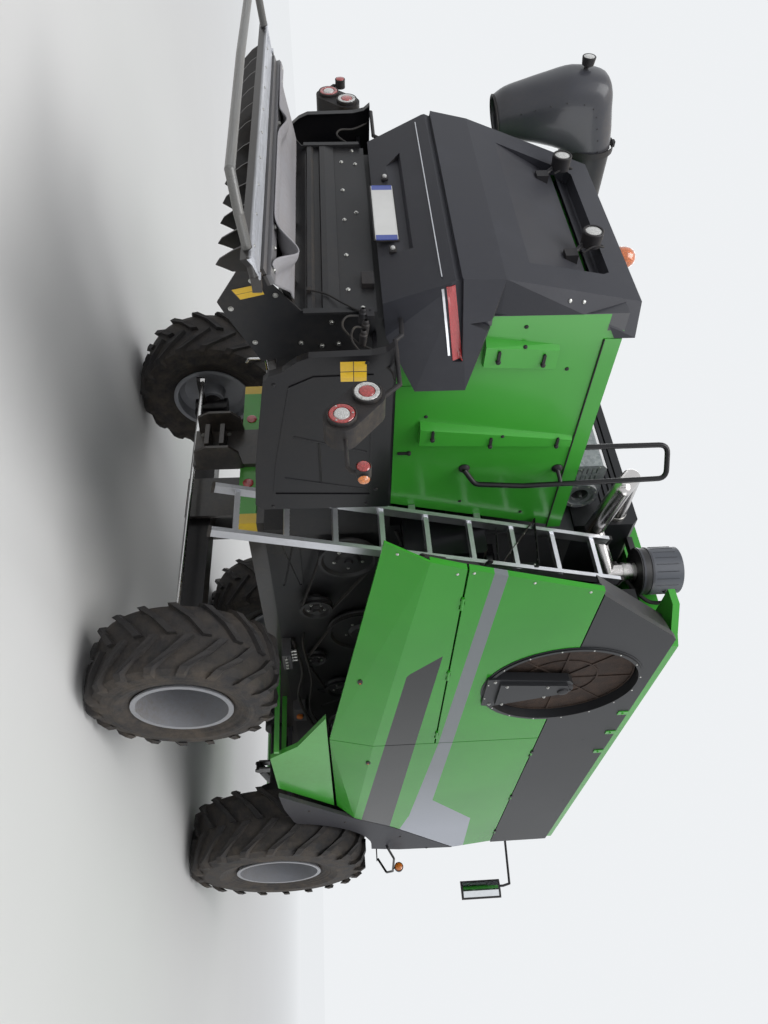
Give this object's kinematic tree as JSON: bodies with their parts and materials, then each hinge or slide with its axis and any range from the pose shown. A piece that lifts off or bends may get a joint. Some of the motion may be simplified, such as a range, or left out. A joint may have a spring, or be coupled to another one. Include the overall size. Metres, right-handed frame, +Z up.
{
  "type": "combine harvester",
  "caption": "Self-propelled combine harvester on large lugged wheels, with cab, grain tank, side doors, unloading auger and feeder house, without header.",
  "frame": {"origin": "on the ground under the middle of the overall length and width", "axes": "+X forward, +Y to the left, +Z up"},
  "size_m": [9.4609, 3.48, 3.927],
  "materials": {
    "green_paint": "satin",
    "dark_paint": "satin",
    "dark_plastic": "matt",
    "black_paint": "gloss",
    "silver_paint": "satin",
    "tyre_rubber": "dusty",
    "steel": "brushed",
    "iron": "rough",
    "aluminium": "satin",
    "screen": "matt",
    "glass": "polished",
    "seat_fabric": "woven",
    "flap_rubber": "matt",
    "cable_black": "satin"
  },
  "bodies": {
    "harvester_body": {"chassis_frame": "green_paint", "front_axle": "dark_paint", "rear_axle": "black_paint", "threshing_body": "dark_paint", "side_frame": "black_paint", "straw_hood": "green_paint", "rear_hood": "dark_plastic", "chopper_housing": "dark_paint", "side_covers": "black_paint", "rear_lamps": "black_paint", "ladder": "aluminium", "hand_rail": "black_paint", "engine": "iron", "cooler": "black_paint", "engine_cowl": "dark_paint", "air_intake": "steel", "exhaust_box": "silver_paint", "fuel_tank": "black_paint", "grain_tank": "green_paint", "tank_roof": "green_paint", "side_band": "dark_paint", "upper_panels": "green_paint", "skirts": "green_paint", "fenders": "dark_plastic", "screen_frame": "dark_paint", "left_deck": "dark_paint", "unload_turret": "dark_paint", "cab_platform": "dark_paint", "cab_frame": "dark_plastic", "cab_glass": "glass", "cab_interior": "seat_fabric", "mirrors": "dark_plastic", "rear_cable": "cable_black"},
    "tailboard_assembly": {"tailboard": "black_paint", "rubber_flap": "flap_rubber"},
    "right_lower_door": {"right_lower_door": "green_paint"},
    "right_front_door": {"right_front_door": "green_paint"},
    "left_lower_door": {"left_lower_door": "green_paint"},
    "left_front_door": {"left_front_door": "green_paint"},
    "dust_screen": {"dust_screen": "screen"},
    "tank_lid_right": {"tank_lid_right": "green_paint"},
    "tank_lid_left": {"tank_lid_left": "green_paint"},
    "unloading_auger": {"unload_tube": "dark_paint", "unload_spout": "dark_plastic"},
    "cab_door": {"cab_door": "dark_plastic", "cab_door_glass": "glass"},
    "feeder_house": {"feeder_house": "green_paint"},
    "lift_barrels": {"lift_barrels": "black_paint"},
    "lift_rods": {"lift_rods": "steel"},
    "front_right_wheel": {"front_right_rim": "silver_paint", "front_right_tyre": "tyre_rubber"},
    "front_left_wheel": {"front_left_rim": "silver_paint", "front_left_tyre": "tyre_rubber"},
    "rear_right_wheel": {"rear_right_rim": "silver_paint", "rear_right_tyre": "tyre_rubber"},
    "rear_left_wheel": {"rear_left_rim": "silver_paint", "rear_left_tyre": "tyre_rubber"},
    "right_knuckle": {"right_knuckle": "black_paint"},
    "left_knuckle": {"left_knuckle": "black_paint"},
    "tie_rod": {"tie_rod": "steel"}
  },
  "joints": [
    {"name": "front_right_wheel_spin", "type": "hinge", "parent": "harvester_body", "child": "front_right_wheel", "pos_m": [2.42013, -1.415, 0.902], "axis": [0, 1, 0], "continuous": true},
    {"name": "front_left_wheel_spin", "type": "hinge", "parent": "harvester_body", "child": "front_left_wheel", "pos_m": [2.42013, 1.415, 0.902], "axis": [0, 1, 0], "continuous": true},
    {"name": "rear_right_wheel_spin", "type": "hinge", "parent": "right_knuckle", "child": "rear_right_wheel", "pos_m": [-1.47987, -1.395, 0.611], "axis": [0, 1, 0], "continuous": true},
    {"name": "rear_left_wheel_spin", "type": "hinge", "parent": "left_knuckle", "child": "rear_left_wheel", "pos_m": [-1.47987, 1.395, 0.611], "axis": [0, 1, 0], "continuous": true},
    {"name": "left_steering", "type": "hinge", "parent": "harvester_body", "child": "left_knuckle", "pos_m": [-1.47987, 1.1, 0.611], "axis": [0, 0, 1], "range_deg": [-40, 40]},
    {"name": "right_steering", "type": "hinge", "parent": "harvester_body", "child": "right_knuckle", "pos_m": [-1.47987, -1.1, 0.611], "axis": [0, 0, 1], "range_deg": [-40, 40]},
    {"name": "tie_rod_pivot", "type": "hinge", "parent": "left_knuckle", "child": "tie_rod", "pos_m": [-1.77987, 1.1, 0.579], "axis": [0, 0, 1], "range_deg": [-40, 40]},
    {"name": "feeder_lift", "type": "hinge", "parent": "harvester_body", "child": "feeder_house", "pos_m": [2.97013, 0, 1.56], "axis": [0, -1, 0], "range_deg": [-20, 3]},
    {"name": "lift_barrel_tilt", "type": "hinge", "parent": "harvester_body", "child": "lift_barrels", "pos_m": [2.66013, 0, 0.64], "axis": [0, -1, 0], "range_deg": [-10.66, 2.02]},
    {"name": "lift_rod_slide", "type": "slide", "parent": "lift_barrels", "child": "lift_rods", "axis": [0.9784, 0, 0.2069], "range_m": [-0.3044, 0.0474]},
    {"name": "unloading_swing", "type": "hinge", "parent": "harvester_body", "child": "unloading_auger", "pos_m": [1.82013, 1.24, 3.35], "axis": [0, 0, -1], "range_deg": [0, 100]},
    {"name": "right_lower_door_lift", "type": "hinge", "parent": "harvester_body", "child": "right_lower_door", "pos_m": [-1.47987, -1.504, 2.32], "axis": [-1, 0, 0], "range_deg": [0, 80]},
    {"name": "right_front_door_lift", "type": "hinge", "parent": "harvester_body", "child": "right_front_door", "pos_m": [1.02013, -1.504, 3.124], "axis": [-1, 0, 0], "range_deg": [0, 80]},
    {"name": "left_lower_door_lift", "type": "hinge", "parent": "harvester_body", "child": "left_lower_door", "pos_m": [-1.47987, 1.504, 2.32], "axis": [1, 0, 0], "range_deg": [0, 80]},
    {"name": "left_front_door_lift", "type": "hinge", "parent": "harvester_body", "child": "left_front_door", "pos_m": [1.02013, 1.504, 3.124], "axis": [1, 0, 0], "range_deg": [0, 80]},
    {"name": "tank_lid_right_open", "type": "hinge", "parent": "harvester_body", "child": "tank_lid_right", "pos_m": [1.02013, -1.25, 3.865], "axis": [1, 0, 0], "range_deg": [0, 85]},
    {"name": "tank_lid_left_open", "type": "hinge", "parent": "harvester_body", "child": "tank_lid_left", "pos_m": [1.02013, 0.85, 3.865], "axis": [-1, 0, 0], "range_deg": [0, 85]},
    {"name": "dust_screen_spin", "type": "hinge", "parent": "harvester_body", "child": "dust_screen", "pos_m": [-1.31487, -1.53, 3.115], "axis": [0, 1, 0], "continuous": true},
    {"name": "cab_door_open", "type": "hinge", "parent": "harvester_body", "child": "cab_door", "pos_m": [2.93013, 0.896, 2.8], "axis": [0, 0, 1], "range_deg": [0, 80]},
    {"name": "tailboard_tilt", "type": "hinge", "parent": "harvester_body", "child": "tailboard_assembly", "pos_m": [-3.91987, 0, 1.47], "axis": [0, 1, 0], "range_deg": [-5, 45]}
  ],
  "couplings": [
    {"joint": "right_steering", "follows": "left_steering", "ratio": 1},
    {"joint": "tie_rod_pivot", "follows": "left_steering", "ratio": -1},
    {"joint": "lift_barrel_tilt", "follows": "feeder_lift", "ratio": 0.50775},
    {"joint": "lift_rod_slide", "follows": "feeder_lift", "m_per_rad": 0.86622}
  ]
}
